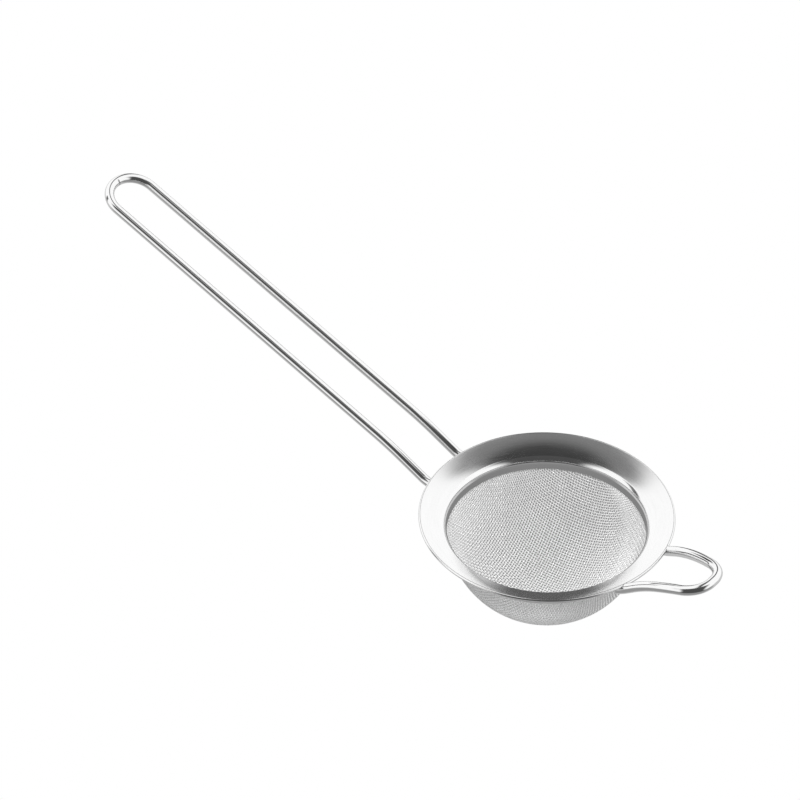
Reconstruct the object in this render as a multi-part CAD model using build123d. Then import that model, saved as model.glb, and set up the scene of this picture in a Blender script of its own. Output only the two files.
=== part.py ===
"""Long-handled tea strainer: flared rim, woven mesh bowl, wire handle and wire rest loop.

Millimetres, +Z up.  The origin is on the bowl's axis, in the plane of the rim's outer edge.
The handle runs out along -X and rises; the rest loop sits opposite it, along +X.
Every function below returns one separate physical piece of the strainer.
"""
import os
from math import atan2, cos, degrees, hypot, radians, sin, sqrt, tan

from build123d import *

# ---- driving dimensions ---------------------------------------------------------------
RIM_RADIUS = 40.0            # outer edge of the flared rim
SHEET = 0.5                  # steel sheet of the rim
HEM = 2 * SHEET              # the rim's edge is folded under on itself
HEM_INNER_RADIUS = 34.6      # where the folded-under layer ends
FLARE_ANGLE = 26.5           # flare above the horizontal, degrees
NECK_RADIUS = 31.2           # inside of the neck that the flare runs down into
NECK_BEND = 2.6              # bend radius on the visible side, flare to neck
NECK_BOTTOM = -8.0           # lower edge of the neck

MESH_WIRE = 0.34             # wire of the woven mesh; two wires cross at each point
MESH_THICKNESS = 2 * MESH_WIRE
MESH_GAP = 0.03              # fit gap between neck, mesh skirt and band
SKIRT_FOOT_DROP = 0.15       # the skirt starts this far below the neck's lower edge
SKIRT_FOOT_RISE = 0.1        # length of the slanted step at the foot's inner side
SKIRT_TOP = -5.45            # upper edge of the mesh, hidden under the flare
BOWL_DEPTH = -35.7           # lowest point of the bowl
BOWL_SPHERE_CENTRE = -4.05   # centre height of the round lower part
BOWL_JOINT = -16.0           # where the round part runs into the flatter upper wall

BAND_WALL = 0.5              # ring that grips the mesh skirt on the neck
BAND_TOP = -5.55
BAND_BOTTOM = -7.8

HANDLE_WIRE = 3.1            # wire diameter
LEG_SPACING = 16.48          # between the centres of the two parallel legs
LEG_SLOPE = 0.3505           # rise per mm along the handle
LEG_SET = (-56.0, 3.61)      # x, z where a leg's centre bends down towards the rim
LEG_SET_REACH = 5.0          # length that this bend takes on each side
LEG_DIP = (-41.2, -3.4)      # x, z where it bends level to pass under the rim's edge
LEG_DIP_REACH = 1.8
HANDLE_REACH = 177.6         # x distance from the bowl's axis to the end bend's centreline
HANDLE_END = (-34.2, -3.45)  # x, z of the legs' inner ends
SWAGE_START = -39.0          # x where the round wire starts to be pressed flat
SWAGE_HALF_WIDTH = 2.05
SWAGE_HALF_HEIGHT = 1.25

REST_WIRE = 3.15             # wire diameter
# half of the rest loop's bent shape, from its hidden end under the rim to its far bend
REST_CORNERS = [
    (35.8, 11.6, -2.9),
    (37.9, 11.2, -1.95),
    (44.5, 9.95, 2.25),
    (51.8, 8.85, 4.75),
    (58.9, 7.2, 6.15),
    (62.5, 3.3, 7.0),
]

SEAT_GAP = 0.12              # standing gap between a wire's flat and the hem, bridged by welds
WELD_RADIUS = 0.6
NUGGET_LENGTH = 0.72         # cut down to the gap that it bridges
WELD_MARGIN_IN = 0.2         # bare strip at the hem's inner end
WELD_MARGIN_OUT = 0.3        # bare strip before the rim's rounded edge
HANDLE_WELDS = (-34.85, -36.15)  # x of the two nuggets on each leg
REST_WELD_SHARE = 0.45           # place of the nugget along the rest loop's end run
CORNER_SHARE = 0.45          # part of the shorter run that each bend takes
CUT_MARGIN = 4.0             # how far a seat cutter reaches inside the hem's inner end
CUT_TOP = 12.0               # height of a seat cutter's lid
HANDLE_CUT_REACH = 6.0       # how far outside the rim the handle's flat may run


# ---- shared geometry ------------------------------------------------------------------
FLARE_RISE = tan(radians(FLARE_ANGLE))


def flare_height(radius):
    """Height of the flare's upper face, which ends in the rim's rounded edge."""
    above_edge = HEM / 2 / cos(radians(FLARE_ANGLE)) - HEM / 2
    return above_edge + (radius - RIM_RADIUS + HEM / 2) * FLARE_RISE


def under_flare(radius, depth):
    """Height of the surface that lies a given depth below the flare's upper face."""
    return flare_height(radius) - depth / cos(radians(FLARE_ANGLE))


def revolved(face):
    """A closed profile in the XZ plane, turned about the bowl's axis."""
    return revolve(face, Axis.Z)


def profile(*edges):
    """A face in the XZ plane from edges that join end to end."""
    return make_face(Wire(list(edges)))


def outline(corners):
    """A face in the XZ plane with straight sides between its corners."""
    return profile(*[straight(a, b) for a, b in zip(corners, corners[1:] + corners[:1])])


def at(x, z):
    return (x, 0, z)


def straight(start, end):
    return Line(at(*start), at(*end)).edge()


def arc_through(start, middle, end):
    return ThreePointArc(at(*start), at(*middle), at(*end)).edge()


def on_circle(centre, radius, angle):
    """A point in the XZ plane, with the angle in degrees above the horizontal."""
    turn = radians(angle)
    return (centre[0] + radius * cos(turn), centre[1] + radius * sin(turn))


def arc_about(centre, radius, start_angle, end_angle):
    middle_angle = (start_angle + end_angle) / 2
    points = [on_circle(centre, radius, a) for a in (start_angle, middle_angle, end_angle)]
    return arc_through(*points)


# ---- rim ------------------------------------------------------------------------------
def bend_centre():
    """Centre of the bend between flare and neck, which lies inside the metal's lower side."""
    x = NECK_RADIUS + NECK_BEND
    z = flare_height(x) - NECK_BEND / cos(radians(FLARE_ANGLE))
    return (x, z)


def edge_centre():
    """Centre of the hem's rounded edge, whose outermost point is the rim's radius."""
    x = RIM_RADIUS - HEM / 2
    return (x, under_flare(x, HEM / 2))


def rim_flange():
    """Flared rim with a folded hem at its edge, drawn down into a short neck."""
    tilt = FLARE_ANGLE
    bend = bend_centre()
    edge = edge_centre()
    inner_bend = NECK_BEND - SHEET
    top_edge = on_circle(edge, HEM / 2, 90 + tilt)
    low_edge = on_circle(edge, HEM / 2, tilt - 90)
    bend_top = on_circle(bend, NECK_BEND, 90 + tilt)
    bend_low = on_circle(bend, inner_bend, 90 + tilt)
    hem_low = (HEM_INNER_RADIUS, under_flare(HEM_INNER_RADIUS, HEM))
    hem_high = (HEM_INNER_RADIUS, under_flare(HEM_INNER_RADIUS, SHEET))
    neck_inner = (NECK_RADIUS, NECK_BOTTOM)
    neck_outer = (NECK_RADIUS + SHEET, NECK_BOTTOM)
    face = profile(
        straight(bend_top, top_edge),
        arc_about(edge, HEM / 2, 90 + tilt, tilt - 90),
        straight(low_edge, hem_low),
        straight(hem_low, hem_high),
        straight(hem_high, bend_low),
        arc_about(bend, inner_bend, 90 + tilt, 180),
        straight(on_circle(bend, inner_bend, 180), neck_outer),
        straight(neck_outer, neck_inner),
        straight(neck_inner, on_circle(bend, NECK_BEND, 180)),
        arc_about(bend, NECK_BEND, 180, 90 + tilt),
    )
    return revolved(face)


# ---- mesh bowl and its band -----------------------------------------------------------
def bowl_arcs():
    """The bowl's outer outline: a round lower part and a flatter upper wall, tangent."""
    low_centre = (0, BOWL_SPHERE_CENTRE)
    low_radius = BOWL_SPHERE_CENTRE - BOWL_DEPTH
    drop = BOWL_JOINT - BOWL_SPHERE_CENTRE
    joint = (sqrt(low_radius ** 2 - drop ** 2), BOWL_JOINT)
    normal = (joint[0] / low_radius, drop / low_radius)
    top = (skirt_radius() + MESH_THICKNESS, NECK_BOTTOM - SKIRT_FOOT_DROP)
    reach = (top[0] - joint[0], top[1] - joint[1])
    along_normal = reach[0] * normal[0] + reach[1] * normal[1]
    high_radius = -(reach[0] ** 2 + reach[1] ** 2) / (2 * along_normal)
    high_centre = (joint[0] - high_radius * normal[0], joint[1] - high_radius * normal[1])
    joint_angle = degrees(atan2(normal[1], normal[0]))
    top_angle = degrees(atan2(top[1] - high_centre[1], top[0] - high_centre[0]))
    return low_centre, low_radius, high_centre, high_radius, joint_angle, top_angle


def skirt_radius():
    """Inside of the mesh's upright skirt, which sits over the outside of the neck."""
    return NECK_RADIUS + SHEET + MESH_GAP


def mesh_bowl():
    """The woven bowl as one thin closed shell, two wires thick, with its upright skirt."""
    low_centre, low_radius, high_centre, high_radius, joint_angle, top_angle = bowl_arcs()
    inner_low = low_radius - MESH_THICKNESS
    inner_high = high_radius - MESH_THICKNESS
    skirt_in = skirt_radius()
    skirt_out = skirt_in + MESH_THICKNESS
    outer_top = on_circle(high_centre, high_radius, top_angle)
    inner_top = on_circle(high_centre, inner_high, top_angle)
    skirt_foot = (skirt_in, inner_top[1] + SKIRT_FOOT_RISE)
    face = profile(
        arc_about(low_centre, low_radius, -90, joint_angle),
        arc_about(high_centre, high_radius, joint_angle, top_angle),
        straight(outer_top, (skirt_out, SKIRT_TOP)),
        straight((skirt_out, SKIRT_TOP), (skirt_in, SKIRT_TOP)),
        straight((skirt_in, SKIRT_TOP), skirt_foot),
        straight(skirt_foot, inner_top),
        arc_about(high_centre, inner_high, top_angle, joint_angle),
        arc_about(low_centre, inner_low, joint_angle, -90),
        straight(on_circle(low_centre, inner_low, -90), on_circle(low_centre, low_radius, -90)),
    )
    return revolved(face)


def clamp_band():
    """Plain ring pressed over the mesh skirt, so that the neck holds the mesh."""
    inside = skirt_radius() + MESH_THICKNESS + MESH_GAP
    outside = inside + BAND_WALL
    return revolved(outline([
        (inside, BAND_BOTTOM),
        (outside, BAND_BOTTOM),
        (outside, BAND_TOP),
        (inside, BAND_TOP),
    ]))


# ---- bent wires -----------------------------------------------------------------------
def seat_cutter(outer_radius):
    """The space that the rim takes up above a wire: the wire's flat stays a gap below it."""
    low = HEM + SEAT_GAP
    inner = HEM_INNER_RADIUS - CUT_MARGIN
    return revolved(outline([
        (inner, under_flare(inner, low)),
        (outer_radius, under_flare(outer_radius, low)),
        (outer_radius, CUT_TOP),
        (inner, CUT_TOP),
    ]))


def edge_cutter():
    """The rim's rounded edge with the seat's gap round it."""
    edge = edge_centre()
    return Pos(0, 0, edge[1]) * Torus(edge[0], HEM / 2 + SEAT_GAP)


def shared_reaches(corners):
    """How far each bend reaches along its runs: a share of the shorter of the two."""
    points = [Vector(*corner) for corner in corners]
    runs = [(there - here).length for here, there in zip(points, points[1:])]
    return [CORNER_SHARE * min(pair) for pair in zip(runs, runs[1:])]


def bent_edges(corners, reaches):
    """A wire's centreline: straight runs joined by arcs tangent to both."""
    points = [Vector(*corner) for corner in corners]
    edges = []
    here = points[0]
    for before, corner, after, reach in zip(points, points[1:], points[2:], reaches):
        run_in = corner - before
        run_out = after - corner
        start = corner - run_in.normalized() * reach
        end = corner + run_out.normalized() * reach
        half_turn = radians(run_in.get_angle(run_out)) / 2
        inward = (run_out.normalized() - run_in.normalized()).normalized()
        radius = reach / tan(half_turn)
        middle = corner + inward * (radius / cos(half_turn) - radius)
        edges.append(Line(here, start).edge())
        edges.append(ThreePointArc(start, middle, end).edge())
        here = end
    edges.append(Line(here, points[-1]).edge())
    return edges


def swept_wire(path, diameter):
    start = Plane(origin=path @ 0, z_dir=path % 0)
    return sweep(start * Circle(diameter / 2), path=path)


def leg_height(x):
    """Height of a leg's centre along its long straight run."""
    return LEG_SET[1] + (LEG_SET[0] - x) * LEG_SLOPE


def seat_height(x):
    """Height of a leg's centre along its short run under the rim."""
    slope = (HANDLE_END[1] - LEG_DIP[1]) / (HANDLE_END[0] - LEG_DIP[0])
    return LEG_DIP[1] + (x - LEG_DIP[0]) * slope


def leg_point(x, z, side):
    return Vector(x, side * LEG_SPACING / 2, z)


def leg_edges(side, far_x):
    """A leg's centreline, from where its pressed end starts out to the end bend."""
    corners = [
        leg_point(SWAGE_START, seat_height(SWAGE_START), side),
        leg_point(*LEG_DIP, side),
        leg_point(*LEG_SET, side),
        leg_point(far_x, leg_height(far_x), side),
    ]
    reaches = [LEG_DIP_REACH, LEG_SET_REACH]
    if side < 0:
        corners.reverse()
        reaches.reverse()
    return bent_edges(corners, reaches)


def swaged_end(side):
    """A leg's end, pressed from round to a flatter, wider section under the rim."""
    first = leg_point(SWAGE_START, seat_height(SWAGE_START), side)
    last = leg_point(*HANDLE_END, side)
    outward = (last - first).normalized()
    across = Vector(0, 1, 0)
    round_section = Plane(origin=first, x_dir=across, z_dir=outward) * Circle(HANDLE_WIRE / 2)
    flat_section = (Plane(origin=last, x_dir=across, z_dir=outward)
                    * Ellipse(SWAGE_HALF_WIDTH, SWAGE_HALF_HEIGHT))
    return loft([round_section.face(), flat_section.face()])


def handle_wire():
    """One wire bent to a long hairpin; its flattened ends seat against the rim's hem."""
    bend_x = -(HANDLE_REACH - LEG_SPACING / 2 * cos(atan2(LEG_SLOPE, 1)))
    tip = Vector(-HANDLE_REACH, 0, leg_height(-HANDLE_REACH))
    far = leg_point(bend_x, leg_height(bend_x), 1)
    back_far = leg_point(bend_x, leg_height(bend_x), -1)
    end_bend = ThreePointArc(far, tip, back_far).edge()
    path = Wire(leg_edges(1, bend_x) + [end_bend] + leg_edges(-1, bend_x))
    wire = swept_wire(path, HANDLE_WIRE)
    for side in (1, -1):
        wire = wire + swaged_end(side)
    return wire - seat_cutter(RIM_RADIUS + HANDLE_CUT_REACH)


def rest_loop_wire():
    """The short loop opposite the handle, which hooks over the far side of a cup."""
    mirrored = [(x, -y, z) for x, y, z in reversed(REST_CORNERS)]
    corners = REST_CORNERS + mirrored
    path = Wire(bent_edges(corners, shared_reaches(corners)))
    wire = swept_wire(path, REST_WIRE)
    return wire - seat_cutter(edge_centre()[0]) - edge_cutter()


# ---- welds ----------------------------------------------------------------------------
def weld_nuggets(places):
    """Resistance welds: short round nuggets that bridge the gap between wire and hem."""
    nuggets = []
    gap_ring = weld_layer()
    for x, y in places:
        radius = hypot(x, y)
        centre = Vector(x, y, under_flare(radius, HEM + SEAT_GAP / 2))
        inward = Vector(-x / radius, -y / radius, 0)
        normal = inward * sin(radians(FLARE_ANGLE)) + Vector(0, 0, cos(radians(FLARE_ANGLE)))
        stub = Plane(origin=centre, z_dir=normal) * Cylinder(WELD_RADIUS, NUGGET_LENGTH)
        nuggets.append(stub & gap_ring)
    return Compound(children=[nugget.solid() for nugget in nuggets])


def weld_layer():
    """The thin conical layer between the hem's lower face and the wires' flats."""
    inner = HEM_INNER_RADIUS + WELD_MARGIN_IN
    outer = RIM_RADIUS - HEM / 2 - WELD_MARGIN_OUT
    return revolved(outline([
        (inner, under_flare(inner, HEM + SEAT_GAP)),
        (outer, under_flare(outer, HEM + SEAT_GAP)),
        (outer, under_flare(outer, HEM)),
        (inner, under_flare(inner, HEM)),
    ]))


def handle_weld(side):
    y = side * LEG_SPACING / 2
    return weld_nuggets([(x, y) for x in HANDLE_WELDS])


def rest_weld(side):
    end = Vector(*REST_CORNERS[0])
    middle = end + (Vector(*REST_CORNERS[1]) - end) * REST_WELD_SHARE
    return weld_nuggets([(middle.X, side * middle.Y)])


# ---- the strainer ---------------------------------------------------------------------
PIECES = {
    "rim_flange": rim_flange(),
    "mesh_bowl": mesh_bowl(),
    "clamp_band": clamp_band(),
    "handle_wire": handle_wire(),
    "rest_loop_wire": rest_loop_wire(),
    "handle_weld_left": handle_weld(-1),
    "handle_weld_right": handle_weld(1),
    "rest_weld_left": rest_weld(-1),
    "rest_weld_right": rest_weld(1),
}

os.makedirs("parts", exist_ok=True)
for name, piece in PIECES.items():
    export_step(piece, f"parts/{name}.step")
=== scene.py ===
"""Long-handled tea strainer: a flared rim, a bowl woven from fine wire, a wire handle and a rest loop.

Metres, +Z up.  The origin is on the bowl's axis, in the plane of the rim's outer edge.  The handle
runs out along -X and rises, and the rest loop sits opposite it, along +X.
"""

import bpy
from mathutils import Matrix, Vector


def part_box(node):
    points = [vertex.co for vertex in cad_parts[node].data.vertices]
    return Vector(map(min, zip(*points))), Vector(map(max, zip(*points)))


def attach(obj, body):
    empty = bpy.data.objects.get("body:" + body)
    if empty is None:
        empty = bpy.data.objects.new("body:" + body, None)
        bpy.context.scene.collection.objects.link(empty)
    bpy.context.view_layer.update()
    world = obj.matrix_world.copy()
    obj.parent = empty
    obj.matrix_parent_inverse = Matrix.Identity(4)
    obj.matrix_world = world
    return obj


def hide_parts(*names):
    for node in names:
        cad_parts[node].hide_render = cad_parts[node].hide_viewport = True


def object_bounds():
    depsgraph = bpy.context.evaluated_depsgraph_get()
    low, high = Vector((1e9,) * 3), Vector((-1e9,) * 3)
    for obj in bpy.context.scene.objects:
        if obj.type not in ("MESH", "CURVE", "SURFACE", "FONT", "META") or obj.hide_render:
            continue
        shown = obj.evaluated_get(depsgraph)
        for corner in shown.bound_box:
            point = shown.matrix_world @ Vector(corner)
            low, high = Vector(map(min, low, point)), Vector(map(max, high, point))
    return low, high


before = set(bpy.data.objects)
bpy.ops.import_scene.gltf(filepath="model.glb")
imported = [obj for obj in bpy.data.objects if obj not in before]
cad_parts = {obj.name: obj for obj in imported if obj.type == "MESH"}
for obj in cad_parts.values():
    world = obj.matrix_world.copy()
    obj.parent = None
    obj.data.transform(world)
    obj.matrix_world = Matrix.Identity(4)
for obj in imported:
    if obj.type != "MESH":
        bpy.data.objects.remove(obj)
CAD_BOX = [list(corner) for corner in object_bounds()]

from math import acos, atan, atan2, copysign, cos, hypot, pi, radians, sin, sqrt, tan

import bmesh
import bpy
from bpy.props import FloatProperty, FloatVectorProperty, IntProperty, PointerProperty
from mathutils import Matrix, Vector

bl_info = {
    "name": "Tea strainer",
    "version": (1, 0, 0),
    "blender": (4, 5, 0),
    "location": "3D View > Sidebar > Tea strainer",
    "description": "Builds the pieces of a woven tea strainer round its fixed frame",
    "category": "Add Mesh",
}

MM = 0.001
RIM_LOW, RIM_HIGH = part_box("rim_flange")
BOWL_LOW, BOWL_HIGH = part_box("mesh_bowl")
BAND_LOW, BAND_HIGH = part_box("clamp_band")
HANDLE_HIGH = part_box("handle_wire")[1]

BAND_WALL = 0.5 * MM
NEARLY = 0.999               # keeps two neighbouring roundings from meeting in one point
BEND_FACES = 10              # faces across each rounding of a turned piece
EDGE_FACES = 8
INNER_BEND_FACES = 6
BAND_FACES = 4
BURR_FACES = 2
ROUND_RESOLUTION = 18        # curve steps round a thick wire and round a mesh wire
MESH_RESOLUTION = 1
WIRE_BEND_STEPS = 16         # straight pieces in each bend of a wire
HANDLE_SPACING = 0.4 * MM    # longest step along a wire
REST_SPACING = 0.25 * MM
NET_LIMIT = 1.99             # crossings further apart than this many steps have no next one

# tones of the studio that the steel mirrors, as shares of the white walls
FLOOR_TO_WALL = [(-1.0, 0.50), (-0.12, 0.60), (0.02, 1.0), (1.0, 1.0)]    # by the direction's height
NEAR_FLOOR_TONE = 0.30
BEHIND_TONE = 0.07
OVER_TOP_TONE = 0.10
BESIDE_TONE = 0.12
FLAG_TONES = (0.05, 0.22)    # at the flag's near part and at its far part
# painted shade on the floor: the ellipse where the floor's glow is darkened, not a cast shadow
PAINTED_SHADE_SOFT_FROM = 0.84       # where the shade starts to fade, as a share of its size

# grain of each finish, as patterns to the metre
FINE_TURNING = (9000.0, 7.0)             # across the turning marks and along them
DEEP_TURNING = (1900.0, 2.5)
CLOUDS = 60.0
DRAW_LINES = (60.0, 5200.0, 5200.0)
WEAR = 340.0
WIRE_LOTS = 1500.0
DULL_PATCHES = 90.0
WELD_MOTTLE = 2500.0


# ---- sizes and finishes ----------------------------------------------------------------
def length(name, description, default):
    return FloatProperty(name=name, description=description, default=default, min=0.0,
                         subtype="DISTANCE", unit="LENGTH", precision=5)


def height(name, description, default):
    return FloatProperty(name=name, description=description, default=default,
                         subtype="DISTANCE", unit="LENGTH", precision=5)


def grey(name, description, default):
    return FloatVectorProperty(name=name, description=description, default=(default,) * 3, size=3,
                               min=0.0, max=1.0, subtype="COLOR")


def place_beside(name, description, x, z):
    """A place in a leg's own upright plane, as X and Z."""
    return FloatVectorProperty(name=name, description=description, default=(x, z), size=2,
                               subtype="NONE", unit="LENGTH", precision=5)


def share(name, description, default):
    return FloatProperty(name=name, description=description, default=default, min=0.0, max=1.0,
                         subtype="FACTOR")


class StrainerRimSizes(bpy.types.PropertyGroup):
    """Sizes of the drawn rim and of the ring that grips the mesh."""
    radius: length("Rim radius", "Outer edge of the flared rim", RIM_HIGH[0])
    sheet: length("Sheet", "Thickness of the steel sheet", 0.5 * MM)
    hem_inner_radius: length("Hem end", "Radius where the folded-under layer ends", 34.6 * MM)
    flare_angle: FloatProperty(name="Flare angle", description="Flare above the horizontal",
                               default=radians(26.5), subtype="ANGLE", unit="ROTATION")
    neck_radius: length("Neck radius", "Inside of the neck below the flare", 31.2 * MM)
    neck_bend: length("Neck bend", "Bend radius between flare and neck", 2.6 * MM)
    neck_bottom: height("Neck bottom", "Lower edge of the neck", RIM_LOW[2])
    band_inside: length("Band inside", "Inner radius of the ring", BAND_HIGH[0] - BAND_WALL)
    band_outside: length("Band outside", "Outer radius of the ring", BAND_HIGH[0])
    band_top: height("Band top", "Upper edge of the ring", BAND_HIGH[2])
    band_bottom: height("Band bottom", "Lower edge of the ring", BAND_LOW[2])
    band_edge: length("Band edge", "Rounding of the ring's edges", 0.2 * MM)
    burr: length("Burr", "Rounding of the sheet's cut edges", 0.08 * MM)
    turns: IntProperty(name="Steps round", description="Faces round a turned piece",
                       default=256, min=24, max=720)


class StrainerMeshSizes(bpy.types.PropertyGroup):
    """Sizes of the woven bowl."""
    wire: length("Wire", "Diameter of the mesh wire", 0.34 * MM)
    pitch: length("Pitch", "Distance between neighbouring wires", 0.88 * MM)
    turn: FloatProperty(name="Turn", description="Direction of the first wires about the bowl's axis",
                        default=radians(10.0), subtype="ANGLE", unit="ROTATION")
    crest: share("Crest", "Part of the pitch, on each side of a crossing, that lies level", 0.18)
    depth: height("Depth", "Lowest point of the bowl", BOWL_LOW[2])
    top: height("Top", "Upper edge of the mesh, between neck and ring", BOWL_HIGH[2])
    round_centre: height("Round centre", "Centre height of the round lower part", -4.05 * MM)
    joint: height("Joint", "Where the round part runs into the flatter wall", -16.0 * MM)
    wall_top: height("Wall top", "Where the wall runs into the upright skirt", -8.15 * MM)
    skirt_radius: length("Skirt radius", "Outside of the upright skirt", BOWL_HIGH[0])


class StrainerWireSizes(bpy.types.PropertyGroup):
    """Sizes of the handle and of the rest loop."""
    handle_wire: length("Handle wire", "Diameter of the handle's wire", 3.1 * MM)
    leg_spacing: length("Leg spacing", "Distance between the centres of the two legs", 16.48 * MM)
    leg_slope: FloatProperty(name="Leg slope", description="Rise of the handle for its run",
                             default=0.3505)
    leg_set: place_beside("Leg set", "Where a leg bends down towards the rim", -56.0 * MM, 3.61 * MM)
    set_reach: length("Set reach", "Length that this bend takes on each side", 5.0 * MM)
    leg_dip: place_beside("Leg dip", "Where a leg bends level under the rim", -41.2 * MM, -3.4 * MM)
    dip_reach: length("Dip reach", "Length that this bend takes on each side", 1.8 * MM)
    leg_end: place_beside("Leg end", "A leg's inner end", HANDLE_HIGH[0], -3.45 * MM)
    reach: length("Reach", "From the bowl's axis to the centre line of the end bend", 177.6 * MM)
    swage_start: height("Swage start", "X where the wire starts to be pressed flat", -39.0 * MM)
    swage_width: length("Swage width", "Half width of the pressed end", 2.05 * MM)
    swage_height: length("Swage height", "Half height of the pressed end", 1.25 * MM)
    seat_gap: length("Seat gap", "Gap between a wire's flat and the hem", 0.12 * MM)
    flat_reach: length("Flat reach", "How far outside the rim a leg's flat may run", 6.0 * MM)
    rest_wire: length("Rest wire", "Diameter of the rest loop's wire", 3.15 * MM)
    corner_share: share("Corner share", "Part of the shorter run that each bend takes", 0.45)


class StrainerFinishes(bpy.types.PropertyGroup):
    """Colours and finishes of the steel."""
    rim_colour: grey("Rim", "Colour of the satin rim", 0.86)
    rim_roughness: share("Rim roughness", "Roughness of the satin rim", 0.13)
    mesh_colour: grey("Mesh", "Colour of the woven wire", 0.95)
    mesh_roughness: share("Mesh roughness", "Roughness of the woven wire", 0.30)
    mesh_metal: share("Mesh metal", "Mirror part of the woven wire's shine, the rest being matt", 0.6)
    wire_colour: grey("Wire", "Colour of the polished wires", 0.86)
    wire_roughness: share("Wire roughness", "Roughness of the polished wires", 0.09)
    weld_colour: grey("Weld", "Colour of the welds", 0.42)


class StrainerStage(bpy.types.PropertyGroup):
    """Camera, floor and studio light."""
    azimuth: FloatProperty(name="Azimuth", description="Turn of the camera about the upright axis",
                           default=radians(38.93), subtype="ANGLE", unit="ROTATION")
    elevation: FloatProperty(name="Elevation", description="Height of the camera as an angle",
                             default=radians(39.36), subtype="ANGLE", unit="ROTATION")
    distance: length("Distance", "From the rim's plane to the camera", 1.2)
    aim_right: height("Aim right", "Camera's place to the right of the bowl's axis", -45.69 * MM)
    aim_up: height("Aim up", "Camera's place above the rim's centre, across the view", 35.46 * MM)
    lens: FloatProperty(name="Lens", description="Focal length in millimetres", default=173.58)
    wall_light: FloatProperty(name="Wall light", description="Brightness of the white walls",
                              default=1.12)
    floor_radius: length("Floor radius", "Size of the pale floor", 6.0)
    floor_gap: length("Floor gap", "From the bowl's lowest point down to the floor", 0.3 * MM)
    # The shade on the floor is painted: the floor's glow is darkened in a soft ellipse behind the
    # bowl, and the steel mirrors a dark painted disc there; no lamp casts it.
    painted_shade_ahead: length("Shade place", "The bowl's shade, beyond the bowl's axis", 34.0 * MM)
    painted_shade_width: length("Shade width", "Half width of the shade", 30.0 * MM)
    painted_shade_length: length("Shade length", "Half length of the shade", 43.0 * MM)
    painted_shade_tone: share("Shade tone", "Tone of the shade as the camera sees it", 0.26)
    mirrored_painted_shade_tone: share("Mirrored shade", "Tone of the shade as the steel mirrors it", 0.25)
    key_energy: FloatProperty(name="Key light", description="Strength of the key light", default=3.9)
    key_softness: FloatProperty(name="Key softness", description="Angular size of the key light",
                                default=radians(25.0), subtype="ANGLE", unit="ROTATION")
    key_tilt: FloatProperty(name="Key tilt", description="Key light's angle from straight overhead",
                            default=radians(30.0), subtype="ANGLE", unit="ROTATION")
    flag_height: length("Flag height", "Dark flag above the rim's plane", 60.0 * MM)
    flag_size: length("Flag size", "Half size of the dark flag", 60.0 * MM)


# ---- materials -------------------------------------------------------------------------
def node(tree, kind, inputs=None, **settings):
    """A new shader node; a value given for an input is either a number or another node's socket."""
    made = tree.nodes.new(kind)
    for name, value in settings.items():
        setattr(made, name, value)
    for key, value in (inputs or {}).items():
        if isinstance(value, bpy.types.NodeSocket):
            tree.links.new(value, made.inputs[key])
        else:
            made.inputs[key].default_value = value
    return made


def maths(tree, operation, *values):
    inputs = {index: value for index, value in enumerate(values)}
    return node(tree, "ShaderNodeMath", inputs, operation=operation).outputs[0]


def spread(tree, value, low, high, from_low=0.0, from_high=1.0, smooth=False):
    """A value carried from one range to another."""
    inputs = {"Value": value, "From Min": from_low, "From Max": from_high,
              "To Min": low, "To Max": high}
    ranged = node(tree, "ShaderNodeMapRange", inputs)
    if smooth:
        ranged.interpolation_type = "SMOOTHSTEP"
    return ranged.outputs[0]


def rising(tree, value, start, end):
    """Zero up to the start and one past the end, with a soft change between."""
    return spread(tree, value, 0.0, 1.0, start, end, smooth=True)


def falling(tree, value, start, end):
    """One up to the start and zero past the end, with a soft change between."""
    return spread(tree, value, 1.0, 0.0, start, end, smooth=True)


def within(tree, value, low, high, soft):
    """One inside a range and zero outside it, with soft ends."""
    return maths(tree, "MULTIPLY", rising(tree, value, low - soft, low + soft),
                 falling(tree, value, high - soft, high + soft))


def product(tree, *factors):
    """Several values multiplied together."""
    total = factors[0]
    for factor in factors[1:]:
        total = maths(tree, "MULTIPLY", total, factor)
    return total


def grained(tree, value, low, high):
    """A noise value carried to a range that it mostly stays in."""
    return spread(tree, value, low, high, 0.3, 0.7)


def noise(tree, vector, scale, detail=2.0, roughness=0.5):
    inputs = {"Vector": vector, "Scale": scale, "Detail": detail, "Roughness": roughness}
    return node(tree, "ShaderNodeTexNoise", inputs).outputs["Fac"]


def tinted(tree, colour, shade):
    """A colour multiplied by a shade."""
    scaled = node(tree, "ShaderNodeVectorMath", {"Scale": shade}, operation="SCALE")
    scaled.inputs[0].default_value = tuple(colour)
    return scaled.outputs[0]


def bumped(tree, height_value, strength, distance):
    inputs = {"Height": height_value, "Strength": strength, "Distance": distance}
    return node(tree, "ShaderNodeBump", inputs).outputs[0]


def metal(name):
    """An empty metal material with its shader."""
    made = bpy.data.materials.new(name)
    made.use_nodes = True
    tree = made.node_tree
    tree.nodes.clear()
    shader = node(tree, "ShaderNodeBsdfPrincipled", {"Metallic": 1.0})
    node(tree, "ShaderNodeOutputMaterial", {"Surface": shader.outputs[0]})
    return made, tree, shader


def finish(tree, shader, colour, roughness, normal):
    tree.links.new(colour, shader.inputs["Base Color"])
    tree.links.new(roughness, shader.inputs["Roughness"])
    tree.links.new(normal, shader.inputs["Normal"])


def place_of(tree, scale=(1, 1, 1), rotation=(0, 0, 0)):
    """Object coordinates, turned and then stretched."""
    place = node(tree, "ShaderNodeTexCoord").outputs["Object"]
    turned = node(tree, "ShaderNodeMapping", {"Vector": place, "Rotation": rotation})
    return node(tree, "ShaderNodeMapping", {"Vector": turned.outputs[0], "Scale": scale}).outputs[0]


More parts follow.
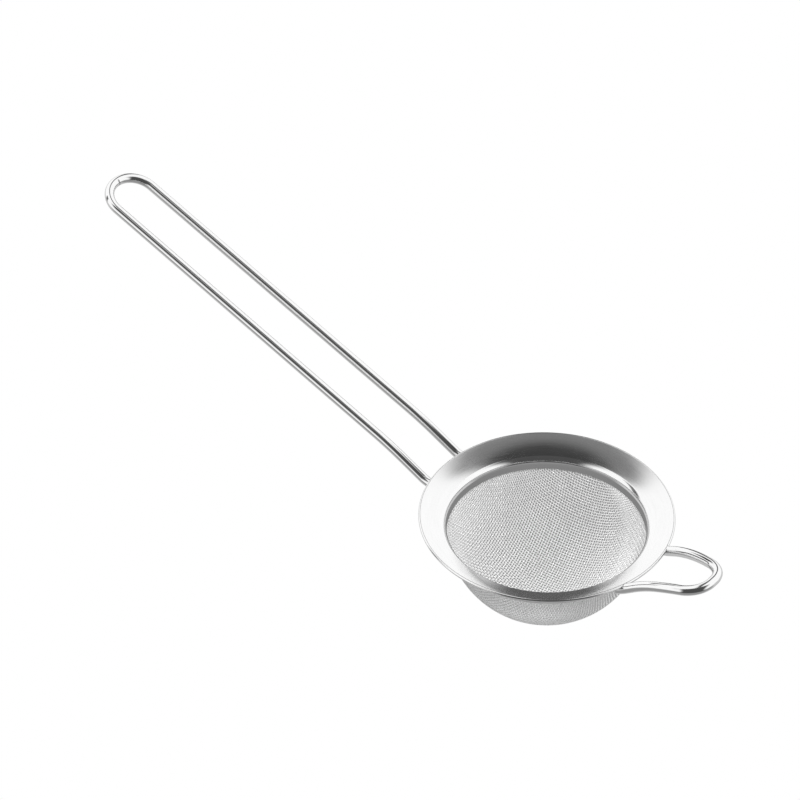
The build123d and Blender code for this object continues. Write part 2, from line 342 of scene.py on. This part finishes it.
def round_the_axis(tree, across, along):
    """A place whose pattern is fine across the turning marks and long along them."""
    place = node(tree, "ShaderNodeTexCoord").outputs["Object"]
    parts = node(tree, "ShaderNodeSeparateXYZ", {0: place}).outputs
    radius = maths(tree, "SQRT", maths(tree, "ADD", maths(tree, "MULTIPLY", parts[0], parts[0]),
                                       maths(tree, "MULTIPLY", parts[1], parts[1])))
    track = maths(tree, "SUBTRACT", radius, parts[2])
    inputs = {0: maths(tree, "MULTIPLY", maths(tree, "DIVIDE", parts[0], radius), along),
              1: maths(tree, "MULTIPLY", maths(tree, "DIVIDE", parts[1], radius), along),
              2: maths(tree, "MULTIPLY", track, across)}
    return node(tree, "ShaderNodeCombineXYZ", inputs).outputs[0]


def satin_steel(name, finishes):
    """Spun and brushed sheet: fine turning marks, a few deeper lines and faint handling marks."""
    made, tree, shader = metal(name)
    fine = noise(tree, round_the_axis(tree, *FINE_TURNING), 1.0, 3.0, 0.6)
    deep = noise(tree, round_the_axis(tree, *DEEP_TURNING), 1.0, 2.0, 0.5)
    cloud = noise(tree, place_of(tree), CLOUDS, 3.0)
    grain = maths(tree, "ADD", maths(tree, "MULTIPLY", fine, 0.6), maths(tree, "MULTIPLY", deep, 0.4))
    shade = maths(tree, "MULTIPLY", grained(tree, grain, 0.97, 1.03),
                  grained(tree, cloud, 0.99, 1.01))
    roughness = maths(tree, "ADD", grained(tree, grain, -0.02, 0.03),
                      grained(tree, cloud, finishes.rim_roughness - 0.02,
                              finishes.rim_roughness + 0.03))
    finish(tree, shader, tinted(tree, finishes.rim_colour, shade), roughness,
           bumped(tree, grain, 0.05, 0.03 * MM))
    return made


def polished_steel(name, finishes, slope=0.0):
    """Drawn and polished wire: faint draw lines along its run, fine wear, nearly a mirror."""
    made, tree, shader = metal(name)
    lines = noise(tree, place_of(tree, DRAW_LINES, (0.0, slope, 0.0)), 1.0, 3.0, 0.6)
    wear = noise(tree, place_of(tree), WEAR, 4.0, 0.6)
    roughness = maths(tree, "ADD", grained(tree, lines, -0.02, 0.03),
                      spread(tree, wear, finishes.wire_roughness - 0.03,
                             finishes.wire_roughness + 0.05, 0.35, 0.75))
    finish(tree, shader, tinted(tree, finishes.wire_colour, grained(tree, lines, 0.95, 1.04)),
           roughness, bumped(tree, lines, 0.06, 0.02 * MM))
    return made


def mesh_steel(name, finishes):
    """Fine bright-drawn wire: each length a little lighter or darker, dulled at random."""
    made, tree, shader = metal(name)
    lots = noise(tree, place_of(tree), WIRE_LOTS, 2.0)
    dull = noise(tree, place_of(tree), DULL_PATCHES, 3.0)
    shade = maths(tree, "MULTIPLY", grained(tree, lots, 0.96, 1.04), grained(tree, dull, 0.97, 1.03))
    roughness = grained(tree, lots, finishes.mesh_roughness - 0.04, finishes.mesh_roughness + 0.06)
    finish(tree, shader, tinted(tree, finishes.mesh_colour, shade), roughness,
           bumped(tree, lots, 0.08, 0.02 * MM))
    shader.inputs["Metallic"].default_value = finishes.mesh_metal
    return made


def weld_steel(name, finishes):
    """Weld nuggets: darker, rough and mottled."""
    made, tree, shader = metal(name)
    mottle = noise(tree, place_of(tree), WELD_MOTTLE, 4.0, 0.6)
    finish(tree, shader, tinted(tree, finishes.weld_colour, grained(tree, mottle, 0.7, 1.2)),
           grained(tree, mottle, 0.35, 0.6), bumped(tree, mottle, 0.4, 0.05 * MM))
    return made


# ---- shared mesh work --------------------------------------------------------------------
def new_piece(name, data, material, slot, *nodes):
    """Puts a finished piece in the scene, on the root body, in place of the CAD nodes named."""
    if name in bpy.data.objects:
        raise RuntimeError(f"{name} is already built")
    piece = bpy.data.objects.new(name, data)
    bpy.context.scene.collection.objects.link(piece)
    data.materials.append(material)
    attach(piece, "root")
    if nodes:
        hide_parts(*nodes)
    return piece


def mesh_from(bm, name, merge=1e-7):
    """A smooth mesh with its doubles merged and its faces outward."""
    bmesh.ops.remove_doubles(bm, verts=bm.verts, dist=merge)
    bmesh.ops.recalc_face_normals(bm, faces=bm.faces)
    for face in bm.faces:
        face.smooth = True
    made = bpy.data.meshes.new(name)
    bm.to_mesh(made)
    bm.free()
    return made


def ring_of_edges(bm, corners, roundings):
    """A closed outline in the XZ plane with each corner rounded by its own amount."""
    verts = [bm.verts.new((x, 0.0, z)) for x, z in corners]
    for here, there in zip(verts, verts[1:] + verts[:1]):
        bm.edges.new((here, there))
    for vert, (offset, segments) in zip(verts, roundings):
        if segments:
            bmesh.ops.bevel(bm, geom=[vert], affect="VERTICES", offset=offset, offset_type="OFFSET",
                            segments=segments, profile=0.5, material=-1)


def turned(name, corners, roundings, steps):
    """A closed outline turned all the way round the bowl's axis."""
    bm = bmesh.new()
    ring_of_edges(bm, corners, roundings)
    bmesh.ops.spin(bm, geom=bm.verts[:] + bm.edges[:], cent=(0, 0, 0), axis=(0, 0, 1),
                   angle=2 * pi, steps=steps, use_merge=True)
    return mesh_from(bm, name)


# ---- rim -----------------------------------------------------------------------------------
def flare_height(rim, radius):
    """Height of the flare's upper face, which ends in the rim's rounded edge."""
    above_edge = rim.sheet / cos(rim.flare_angle) - rim.sheet
    return above_edge + (radius - rim.radius + rim.sheet) * tan(rim.flare_angle)


def under_flare(rim, radius, depth):
    """Height of the surface that lies a given depth below the flare's upper face."""
    return flare_height(rim, radius) - depth / cos(rim.flare_angle)


def hem_edge(rim):
    """Radius and height of the centre of the hem's rounded edge."""
    radius = rim.radius - rim.sheet
    return radius, under_flare(rim, radius, rim.sheet)


class STRAINER_OT_rim(bpy.types.Operator):
    """Turns the flared rim with its folded hem and its short neck"""
    bl_idname = "strainer.rim"
    bl_label = "Rim flange"

    def execute(self, context):
        rim = context.scene.strainer_rim
        tilt = rim.flare_angle
        out = Vector((cos(tilt), sin(tilt)))
        up = Vector((-sin(tilt), cos(tilt)))
        edge = Vector(hem_edge(rim))
        hem = 2 * rim.sheet
        neck_outer = rim.neck_radius + rim.sheet
        corners = [
            (rim.neck_radius, flare_height(rim, rim.neck_radius)),
            edge + (out + up) * rim.sheet,
            edge + (out - up) * rim.sheet,
            (rim.hem_inner_radius, under_flare(rim, rim.hem_inner_radius, hem)),
            (rim.hem_inner_radius, under_flare(rim, rim.hem_inner_radius, rim.sheet)),
            (neck_outer, under_flare(rim, neck_outer, rim.sheet)),
            (neck_outer, rim.neck_bottom),
            (rim.neck_radius, rim.neck_bottom),
        ]
        half_turn = (pi / 2 - tilt) / 2
        bend = rim.neck_bend * tan(half_turn)
        inner_bend = (rim.neck_bend - rim.sheet) * tan(half_turn)
        round_edge = NEARLY * rim.sheet
        roundings = [
            (bend, BEND_FACES),
            (round_edge, EDGE_FACES),
            (round_edge, EDGE_FACES),
            (rim.burr, BURR_FACES),
            (0.0, 0),
            (inner_bend, INNER_BEND_FACES),
            (rim.burr, BURR_FACES),
            (rim.burr, BURR_FACES),
        ]
        data = turned("rim_flange_turned", corners, roundings, rim.turns)
        new_piece("rim_flange_turned", data, satin_steel("satin_rim", context.scene.strainer_finish),
                  "rim_steel", "rim_flange")
        return {"FINISHED"}


class STRAINER_OT_clamp_band(bpy.types.Operator):
    """Turns the ring that grips the mesh on the neck"""
    bl_idname = "strainer.clamp_band"
    bl_label = "Clamp band"

    def execute(self, context):
        rim = context.scene.strainer_rim
        corners = [
            (rim.band_inside, rim.band_bottom),
            (rim.band_outside, rim.band_bottom),
            (rim.band_outside, rim.band_top),
            (rim.band_inside, rim.band_top),
        ]
        roundings = [(rim.band_edge, BAND_FACES)] * len(corners)
        data = turned("clamp_band_turned", corners, roundings, rim.turns)
        new_piece("clamp_band_turned", data, satin_steel("satin_band", context.scene.strainer_finish),
                  "rim_steel", "clamp_band")
        return {"FINISHED"}


# ---- woven bowl ----------------------------------------------------------------------------
class BowlWall:
    """The middle surface of the mesh: a round bottom, a flatter wall and an upright skirt."""

    def __init__(self, sizes):
        self.centre = sizes.round_centre
        self.radius = sizes.round_centre - sizes.depth - sizes.wire
        outer = self.radius + sizes.wire
        drop = sizes.joint - sizes.round_centre
        joint = Vector((sqrt(outer ** 2 - drop ** 2), sizes.joint))
        normal = Vector((joint[0], drop)) / outer
        top = Vector((sizes.skirt_radius, sizes.wall_top))
        reach = top - joint
        wall_radius = -reach.length_squared / (2 * reach.dot(normal))
        self.wall_centre = joint - wall_radius * normal
        self.wall_radius = wall_radius - sizes.wire
        self.joint_angle = atan2(normal[1], normal[0])
        rise = top - self.wall_centre
        self.top_angle = atan2(rise[1], rise[0])
        self.round_run = self.radius * (self.joint_angle + pi / 2)
        self.wall_run = self.round_run + self.wall_radius * (self.top_angle - self.joint_angle)
        self.skirt = sizes.skirt_radius - sizes.wire
        self.skirt_foot = self.wall_centre[1] + self.wall_radius * sin(self.top_angle)
        self.full_run = self.wall_run + sizes.top - self.skirt_foot

    def at(self, run, turn):
        """Place and outward direction a given run up the wall from the lowest point."""
        if run < self.round_run:
            angle = run / self.radius - pi / 2
            out, up = self.radius * cos(angle), self.centre + self.radius * sin(angle)
        elif run < self.wall_run:
            angle = self.joint_angle + (run - self.round_run) / self.wall_radius
            out = self.wall_centre[0] + self.wall_radius * cos(angle)
            up = self.wall_centre[1] + self.wall_radius * sin(angle)
        else:
            angle = 0.0
            out, up = self.skirt, self.skirt_foot + run - self.wall_run
        place = Vector((out * cos(turn), out * sin(turn), up))
        normal = Vector((cos(angle) * cos(turn), cos(angle) * sin(turn), sin(angle)))
        return place, normal


def quarter_net(wall, pitch):
    """Crossings of a net of equal steps laid over a quarter of the round bottom, as directions."""
    step = pitch / wall.radius
    limit = wall.full_run / wall.radius
    count = int(limit / step) + 1
    net = {}
    for k in range(count + 1):
        net[k, 0] = Vector((sin(k * step), 0.0, -cos(k * step)))
        net[0, k] = Vector((0.0, sin(k * step), -cos(k * step)))
    for i in range(1, count + 1):
        for j in range(1, count + 1):
            beside = net.get((i, j - 1))
            below = net.get((i - 1, j))
            if beside is None or below is None or beside.angle(below) > NET_LIMIT * step:
                continue
            corner = net[i - 1, j - 1]
            mirror = beside.cross(below).normalized()
            net[i, j] = corner - 2 * mirror * corner.dot(mirror)
    return {key: way for key, way in net.items() if acos(max(-1.0, min(1.0, -way.z))) <= limit}


def crossing(wall, net, turn, i, j):
    """Place and outward direction of one crossing of the whole net, or None outside it."""
    way = net.get((abs(i), abs(j)))
    if way is None:
        return None
    flat = atan2(way.y if j >= 0 else -way.y, way.x if i >= 0 else -way.x)
    run = wall.radius * acos(max(-1.0, min(1.0, -way.z)))
    return wall.at(run, flat + turn)


def weave_line(crossings, first_sign, wire, crest):
    """Centre line of one wire that passes over and under the wires it crosses."""
    line = []
    sign = first_sign
    for index, (place, normal) in enumerate(crossings):
        lift = normal * sign * wire / 2
        if index > 0:
            line.append(place.lerp(crossings[index - 1][0], crest) + lift)
        if index + 1 < len(crossings):
            line.append(place.lerp(crossings[index + 1][0], crest) + lift)
        sign = -sign
    return line


def add_line(curve, points):
    spline = curve.splines.new("POLY")
    spline.points.add(len(points) - 1)
    flat = [value for point in points for value in (*point, 1.0)]
    spline.points.foreach_set("co", flat)
    spline.use_smooth = True


class STRAINER_OT_weave(bpy.types.Operator):
    """Weaves the bowl from two families of crimped wires"""
    bl_idname = "strainer.weave"
    bl_label = "Woven bowl"

    def execute(self, context):
        sizes = context.scene.strainer_mesh
        wall = BowlWall(sizes)
        net = quarter_net(wall, sizes.pitch)
        count = max(key[0] for key in net)
        material = mesh_steel("woven_wire", context.scene.strainer_finish)
        for family in ("warp", "weft"):
            for part in ("low", "high"):
                data = bpy.data.curves.new(f"mesh_{family}_{part}", "CURVE")
                data.dimensions = "3D"
                data.bevel_depth = sizes.wire / 2
                data.bevel_resolution = MESH_RESOLUTION
                data.use_fill_caps = True
                numbers = range(-count, 0) if part == "low" else range(count + 1)
                for fixed in numbers:
                    keys = [(n, fixed) if family == "warp" else (fixed, n)
                            for n in range(-count, count + 1)]
                    keys = [key for key in keys if (abs(key[0]), abs(key[1])) in net]
                    if len(keys) < 3:
                        continue
                    sign = 1 if sum(keys[0]) % 2 == 0 else -1
                    if family == "weft":
                        sign = -sign
                    places = [crossing(wall, net, sizes.turn, *key) for key in keys]
                    add_line(data, weave_line(places, sign, sizes.wire, sizes.crest))
                piece = new_piece(f"mesh_{family}_{part}", data, material, "woven_mesh", "mesh_bowl")
                piece.visible_glossy = False
        return {"FINISHED"}


# ---- handle and rest loop ------------------------------------------------------------------
def seat(bm, rim, gap, reach):
    """Presses a wire flat against the underside of the hem, out to a given radius."""
    for vert in bm.verts:
        radius = hypot(vert.co.x, vert.co.y)
        if radius < reach:
            vert.co.z = min(vert.co.z, under_flare(rim, radius, 2 * rim.sheet + gap))


def clear_edge(bm, rim, gap):
    """Presses a wire clear of the rim's rounded edge."""
    edge_radius, edge_height = hem_edge(rim)
    clear = rim.sheet + gap
    for vert in bm.verts:
        radius = hypot(vert.co.x, vert.co.y)
        away = Vector((radius - edge_radius, vert.co.z - edge_height))
        if 1e-9 < away.length < clear:
            away *= clear / away.length
            scale = (edge_radius + away[0]) / radius
            vert.co = (vert.co.x * scale, vert.co.y * scale, edge_height + away[1])


def press_ends(bm, wires):
    """Widens and flattens the handle's ends, from round to their pressed shape."""
    half = wires.leg_spacing / 2
    wider = 2 * wires.swage_width / wires.handle_wire - 1
    thinner = 2 * wires.swage_height / wires.handle_wire - 1
    run = wires.leg_end[0] - wires.leg_dip[0]
    rise = (wires.leg_end[1] - wires.leg_dip[1]) / run
    for vert in bm.verts:
        done = (vert.co.x - wires.swage_start) / (wires.leg_end[0] - wires.swage_start)
        if done > 0:
            middle_y = copysign(half, vert.co.y)
            middle_z = wires.leg_dip[1] + (vert.co.x - wires.leg_dip[0]) * rise
            vert.co.y = middle_y + (vert.co.y - middle_y) * (1 + done * wider)
            vert.co.z = middle_z + (vert.co.z - middle_z) * (1 + done * thinner)


# half of the rest loop's bent shape in mm, from its hidden end to its far bend
REST_CORNERS = [
    (35.8, 11.6, -2.9),
    (37.9, 11.2, -1.95),
    (44.5, 9.95, 2.25),
    (51.8, 8.85, 4.75),
    (58.9, 7.2, 6.15),
    (62.5, 3.3, 7.0),
]


def shared_reaches(corners, corner_share):
    """How far each bend reaches along its runs: a share of the shorter of the two."""
    return [corner_share * min((there - here).length, (after - there).length)
            for here, there, after in zip(corners, corners[1:], corners[2:])]


def rounded_path(corners, reaches, spacing):
    """Points along straight runs whose corners are bent to arcs, at an even spacing."""
    bm = bmesh.new()
    verts = [bm.verts.new(corner) for corner in corners]
    for here, there in zip(verts, verts[1:]):
        bm.edges.new((here, there))
    for vert, reach in zip(verts[1:-1], reaches):
        bmesh.ops.bevel(bm, geom=[vert], affect="VERTICES", offset=reach, offset_type="OFFSET",
                        segments=WIRE_BEND_STEPS, profile=0.5, material=-1)
    bm.verts.ensure_lookup_table()
    here = min((vert for vert in bm.verts if len(vert.link_edges) == 1),
               key=lambda vert: (vert.co - corners[0]).length)
    points, edge = [here.co.copy()], None
    while True:
        onward = [other for other in here.link_edges if other is not edge]
        if not onward:
            break
        edge = onward[0]
        there = edge.other_vert(here)
        parts = max(1, round((there.co - here.co).length / spacing))
        points += [here.co.lerp(there.co, part / parts) for part in range(1, parts + 1)]
        here = there
    bm.free()
    return points


def bent_wire(name, corners, reaches, wire, spacing):
    """A round wire with closed ends, bent along a path of straight runs and arcs."""
    curve = bpy.data.curves.new(name, "CURVE")
    curve.dimensions = "3D"
    curve.bevel_depth = wire / 2
    curve.bevel_resolution = ROUND_RESOLUTION
    curve.use_fill_caps = True
    add_line(curve, rounded_path(corners, reaches, spacing))
    path = bpy.data.objects.new(name, curve)
    bm = bmesh.new()
    bm.from_mesh(bpy.data.meshes.new_from_object(path))
    bpy.data.objects.remove(path)
    return bm


class STRAINER_OT_handle(bpy.types.Operator):
    """Bends the handle's wire to a hairpin and presses its ends against the hem"""
    bl_idname = "strainer.handle"
    bl_label = "Handle wire"

    def execute(self, context):
        wires = context.scene.strainer_wires
        rim = context.scene.strainer_rim
        half = wires.leg_spacing / 2
        far_height = wires.leg_set[1] + (wires.leg_set[0] + wires.reach) * wires.leg_slope
        leg = [wires.leg_end, wires.leg_dip, wires.leg_set, (-wires.reach, far_height)]
        reaches = [wires.dip_reach, wires.set_reach, NEARLY * half]
        corners = [Vector((x, -half, z)) for x, z in leg]
        corners += [Vector((x, half, z)) for x, z in reversed(leg)]
        bm = bent_wire("handle_path", corners, reaches + reaches[::-1], wires.handle_wire,
                       HANDLE_SPACING)
        press_ends(bm, wires)
        seat(bm, rim, wires.seat_gap, rim.radius + wires.flat_reach)
        data = mesh_from(bm, "handle_wire_bent")
        new_piece("handle_wire_bent", data,
                  polished_steel("polished_handle", context.scene.strainer_finish,
                                 atan(wires.leg_slope)),
                  "polished_wire", "handle_wire")
        return {"FINISHED"}


class STRAINER_OT_rest_loop(bpy.types.Operator):
    """Bends the rest loop's wire and presses its ends against the hem"""
    bl_idname = "strainer.rest_loop"
    bl_label = "Rest loop"

    def execute(self, context):
        wires = context.scene.strainer_wires
        rim = context.scene.strainer_rim
        corners = [Vector(corner) * MM for corner in REST_CORNERS]
        corners += [Vector((x, -y, z)) for x, y, z in reversed(corners)]
        bm = bent_wire("rest_loop_path", corners, shared_reaches(corners, wires.corner_share),
                       wires.rest_wire, REST_SPACING)
        seat(bm, rim, wires.seat_gap, hem_edge(rim)[0])
        clear_edge(bm, rim, wires.seat_gap)
        data = mesh_from(bm, "rest_loop_bent")
        new_piece("rest_loop_bent", data,
                  polished_steel("polished_rest", context.scene.strainer_finish),
                  "polished_wire", "rest_loop_wire")
        return {"FINISHED"}


class STRAINER_OT_welds(bpy.types.Operator):
    """Gives the weld nuggets under the hem their finish"""
    bl_idname = "strainer.welds"
    bl_label = "Welds"

    def execute(self, context):
        material = weld_steel("weld_nuggets", context.scene.strainer_finish)
        for name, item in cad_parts.items():
            if "weld" in name:
                for place in item.material_slots:
                    place.material = material
        return {"FINISHED"}


# ---- stage ---------------------------------------------------------------------------------
def ramp(tree, value, stops):
    """A grey ramp over a value between -1 and 1, given as (value, tone) stops."""
    made = node(tree, "ShaderNodeValToRGB", {"Fac": spread(tree, value, 0.0, 1.0, -1.0, 1.0)})
    made.color_ramp.interpolation = "EASE"
    elements = made.color_ramp.elements
    while len(elements) < len(stops):
        elements.new(0.5)
    for element, (place, tone) in zip(elements, stops):
        element.position = (place + 1) / 2
        element.color = (tone, tone, tone, 1.0)
    return made.outputs[0]


def blended(tree, factor, first, second):
    """A mix of two tones."""
    kept = maths(tree, "MULTIPLY", first, maths(tree, "SUBTRACT", 1.0, factor))
    return maths(tree, "ADD", kept, maths(tree, "MULTIPLY", second, factor))


def studio_light(stage):
    """White walls and ceiling with dark gaps between them, and a grey floor beyond the bench.

    The widest gap is behind the camera.  A narrow one runs from the far floor over the top, and
    an upright one stands at the left, where only the rest loop's arms mirror it.
    """
    world = bpy.data.worlds.new("studio")
    world.use_nodes = True
    tree = world.node_tree
    tree.nodes.clear()
    way = node(tree, "ShaderNodeTexCoord").outputs["Generated"]
    turned_way = node(tree, "ShaderNodeMapping", {"Vector": way, "Rotation": (0, 0, -stage.azimuth)})
    right, ahead, up = node(tree, "ShaderNodeSeparateXYZ", {0: turned_way.outputs[0]}).outputs
    tone = ramp(tree, up, FLOOR_TO_WALL)
    near_floor = product(tree, falling(tree, up, -0.25, -0.05), falling(tree, ahead, -0.25, 0.0))
    tone = blended(tree, near_floor, tone, NEAR_FLOOR_TONE)
    behind = product(tree, falling(tree, ahead, -0.30, -0.04),
                     falling(tree, maths(tree, "ABSOLUTE", right), 0.52, 0.78),
                     rising(tree, up, -0.50, -0.25))
    tone = blended(tree, behind, tone, BEHIND_TONE)
    over_top = product(tree, within(tree, right, -0.08, 0.16, 0.05),
                       rising(tree, up, -0.62, -0.50), rising(tree, ahead, -0.30, -0.10))
    tone = blended(tree, over_top, tone, OVER_TOP_TONE)
    lean = maths(tree, "ADD", ahead, maths(tree, "MULTIPLY", right, 0.27))
    beside = product(tree, within(tree, lean, -0.11, 0.11, 0.03),
                     falling(tree, right, -0.50, -0.30), within(tree, up, -0.10, 0.66, 0.06))
    tone = blended(tree, beside, tone, BESIDE_TONE)
    lit = node(tree, "ShaderNodeBackground", {"Color": tone, "Strength": stage.wall_light})
    plain = node(tree, "ShaderNodeBackground", {"Color": (1, 1, 1, 1), "Strength": 1.0})
    seen = node(tree, "ShaderNodeLightPath").outputs["Is Camera Ray"]
    both = node(tree, "ShaderNodeMixShader", {0: seen, 1: lit.outputs[0], 2: plain.outputs[0]})
    node(tree, "ShaderNodeOutputWorld", {"Surface": both.outputs[0]})
    bpy.context.scene.world = world


def bench_axes(tree, stage):
    """Object coordinates turned so that the second one runs away from the camera."""
    turned_place = place_of(tree, rotation=(0, 0, -stage.azimuth))
    return node(tree, "ShaderNodeSeparateXYZ", {0: turned_place}).outputs


def pale_floor(stage, bowl_bottom):
    """A pale floor just under the bowl, with a painted shade of the bowl on it.

    The camera sees the floor's glow, darkened in a soft ellipse behind the bowl into a painted
    shadow.  Everything else meets only a dark painted shade under the bowl, and past it the studio.
    """
    bm = bmesh.new()
    bmesh.ops.create_circle(bm, segments=64, radius=stage.floor_radius, cap_ends=True,
                            matrix=Matrix.Translation((0, 0, bowl_bottom - stage.floor_gap)))
    data = bpy.data.meshes.new("floor")
    bm.to_mesh(data)
    bm.free()
    material = bpy.data.materials.new("pale_floor")
    material.use_nodes = True
    tree = material.node_tree
    tree.nodes.clear()
    right, ahead, _ = bench_axes(tree, stage)
    across = maths(tree, "DIVIDE", right, stage.painted_shade_width)
    along = maths(tree, "DIVIDE", maths(tree, "SUBTRACT", ahead, stage.painted_shade_ahead),
                  stage.painted_shade_length)
    reach = maths(tree, "SQRT", maths(tree, "ADD", maths(tree, "MULTIPLY", across, across),
                                      maths(tree, "MULTIPLY", along, along)))
    # painted shadow: the floor's glow is darkened in a soft ellipse behind the bowl
    shade = spread(tree, reach, stage.painted_shade_tone, 1.0, PAINTED_SHADE_SOFT_FROM, 1.0, smooth=True)
    glow = node(tree, "ShaderNodeEmission", {"Color": shade, "Strength": 1.0})
    clear = node(tree, "ShaderNodeBsdfTransparent")
    # painted shade: a dark glowing disc under the bowl that the steel mirrors in place of a cast
    # shadow
    mirrored_painted_shade = node(tree, "ShaderNodeEmission", {"Color": (1.0, 1.0, 1.0, 1.0),
                                               "Strength": stage.mirrored_painted_shade_tone})
    under = node(tree, "ShaderNodeMixShader", {0: rising(tree, reach, PAINTED_SHADE_SOFT_FROM, 1.1),
                                               1: mirrored_painted_shade.outputs[0], 2: clear.outputs[0]})
    seen = node(tree, "ShaderNodeLightPath").outputs["Is Camera Ray"]
    both = node(tree, "ShaderNodeMixShader", {0: seen, 1: under.outputs[0], 2: glow.outputs[0]})
    node(tree, "ShaderNodeOutputMaterial", {"Surface": both.outputs[0]})
    data.materials.append(material)
    floor = bpy.data.objects.new("floor", data)
    bpy.context.scene.collection.objects.link(floor)


def key_light(stage):
    """A broad soft light from above the camera's side, which mirrors don't show."""
    data = bpy.data.lights.new("key", "SUN")
    data.energy = stage.key_energy
    data.angle = stage.key_softness
    lamp = bpy.data.objects.new("key", data)
    lamp.rotation_euler = (stage.key_tilt, 0.0, stage.azimuth)
    lamp.visible_glossy = False
    bpy.context.scene.collection.objects.link(lamp)


def dark_flag(stage):
    """A small dark studio flag over the far side of the bowl, soft at its edges."""
    bm = bmesh.new()
    bmesh.ops.create_grid(bm, x_segments=1, y_segments=1, size=stage.flag_size,
                          matrix=Matrix.Translation((0, 0, stage.flag_height)))
    data = bpy.data.meshes.new("flag")
    bm.to_mesh(data)
    bm.free()
    material = bpy.data.materials.new("flag_cloth")
    material.use_nodes = True
    tree = material.node_tree
    tree.nodes.clear()
    right, ahead, _ = bench_axes(tree, stage)
    tone = spread(tree, ahead, *FLAG_TONES, 30 * MM, 40 * MM, smooth=True)
    cover = product(tree, falling(tree, maths(tree, "ABSOLUTE", right), 16 * MM, 26 * MM),
                    falling(tree, ahead, 44 * MM, 60 * MM), rising(tree, ahead, 4 * MM, 14 * MM))
    clear = node(tree, "ShaderNodeBsdfTransparent")
    cloth = node(tree, "ShaderNodeEmission", {"Color": tone, "Strength": 1.0})
    both = node(tree, "ShaderNodeMixShader", {0: cover, 1: clear.outputs[0], 2: cloth.outputs[0]})
    node(tree, "ShaderNodeOutputMaterial", {"Surface": both.outputs[0]})
    data.materials.append(material)
    flag = bpy.data.objects.new("flag", data)
    bpy.context.scene.collection.objects.link(flag)
    flag.visible_camera = False


def camera(stage):
    """The camera, level, at its own angle and distance."""
    turn, rise = stage.azimuth, stage.elevation
    right = Vector((cos(turn), sin(turn), 0.0))
    ahead = Vector((-sin(turn), cos(turn), 0.0))
    up = ahead * sin(rise) + Vector((0, 0, cos(rise)))
    back = -ahead * cos(rise) + Vector((0, 0, sin(rise)))
    data = bpy.data.cameras.new("camera")
    data.lens = stage.lens
    data.sensor_width = 36.0
    data.clip_start = 0.05
    made = bpy.data.objects.new("camera", data)
    place = right * stage.aim_right + up * stage.aim_up + back * stage.distance
    made.matrix_world = Matrix.Translation(place) @ Matrix((right, up, back)).transposed().to_4x4()
    bpy.context.scene.collection.objects.link(made)
    bpy.context.scene.camera = made


class STRAINER_OT_stage(bpy.types.Operator):
    """Sets up the camera, the pale floor with its painted shade and the soft studio light"""
    bl_idname = "strainer.stage"
    bl_label = "Stage"

    def execute(self, context):
        stage = context.scene.strainer_stage
        camera(stage)
        pale_floor(stage, CAD_BOX[0][2])
        dark_flag(stage)
        key_light(stage)
        studio_light(stage)
        context.scene.view_settings.view_transform = "Standard"
        return {"FINISHED"}


# ---- add-on --------------------------------------------------------------------------------
BUILDERS = (STRAINER_OT_stage, STRAINER_OT_rim, STRAINER_OT_clamp_band, STRAINER_OT_weave,
            STRAINER_OT_handle, STRAINER_OT_rest_loop, STRAINER_OT_welds)
GROUPS = {"strainer_rim": StrainerRimSizes, "strainer_mesh": StrainerMeshSizes,
          "strainer_wires": StrainerWireSizes, "strainer_finish": StrainerFinishes,
          "strainer_stage": StrainerStage}


class STRAINER_PT_pieces(bpy.types.Panel):
    """Sizes, finishes and pieces of the tea strainer"""
    bl_label = "Tea strainer"
    bl_idname = "STRAINER_PT_pieces"
    bl_space_type = "VIEW_3D"
    bl_region_type = "UI"
    bl_category = "Tea strainer"

    def draw(self, context):
        for builder in BUILDERS:
            self.layout.operator(builder.bl_idname)
        for name, group in GROUPS.items():
            box = self.layout.box()
            for field in group.__annotations__:
                box.prop(getattr(context.scene, name), field)


def register():
    for kind in (*GROUPS.values(), *BUILDERS, STRAINER_PT_pieces):
        bpy.utils.register_class(kind)
    for name, group in GROUPS.items():
        setattr(bpy.types.Scene, name, PointerProperty(type=group))


def unregister():
    for name in GROUPS:
        delattr(bpy.types.Scene, name)
    for kind in (STRAINER_PT_pieces, *reversed(BUILDERS), *GROUPS.values()):
        bpy.utils.unregister_class(kind)


def main():
    register()
    for builder in BUILDERS:
        getattr(bpy.ops.strainer, builder.bl_idname.split(".")[1])()


if __name__ == "__main__":
    main()
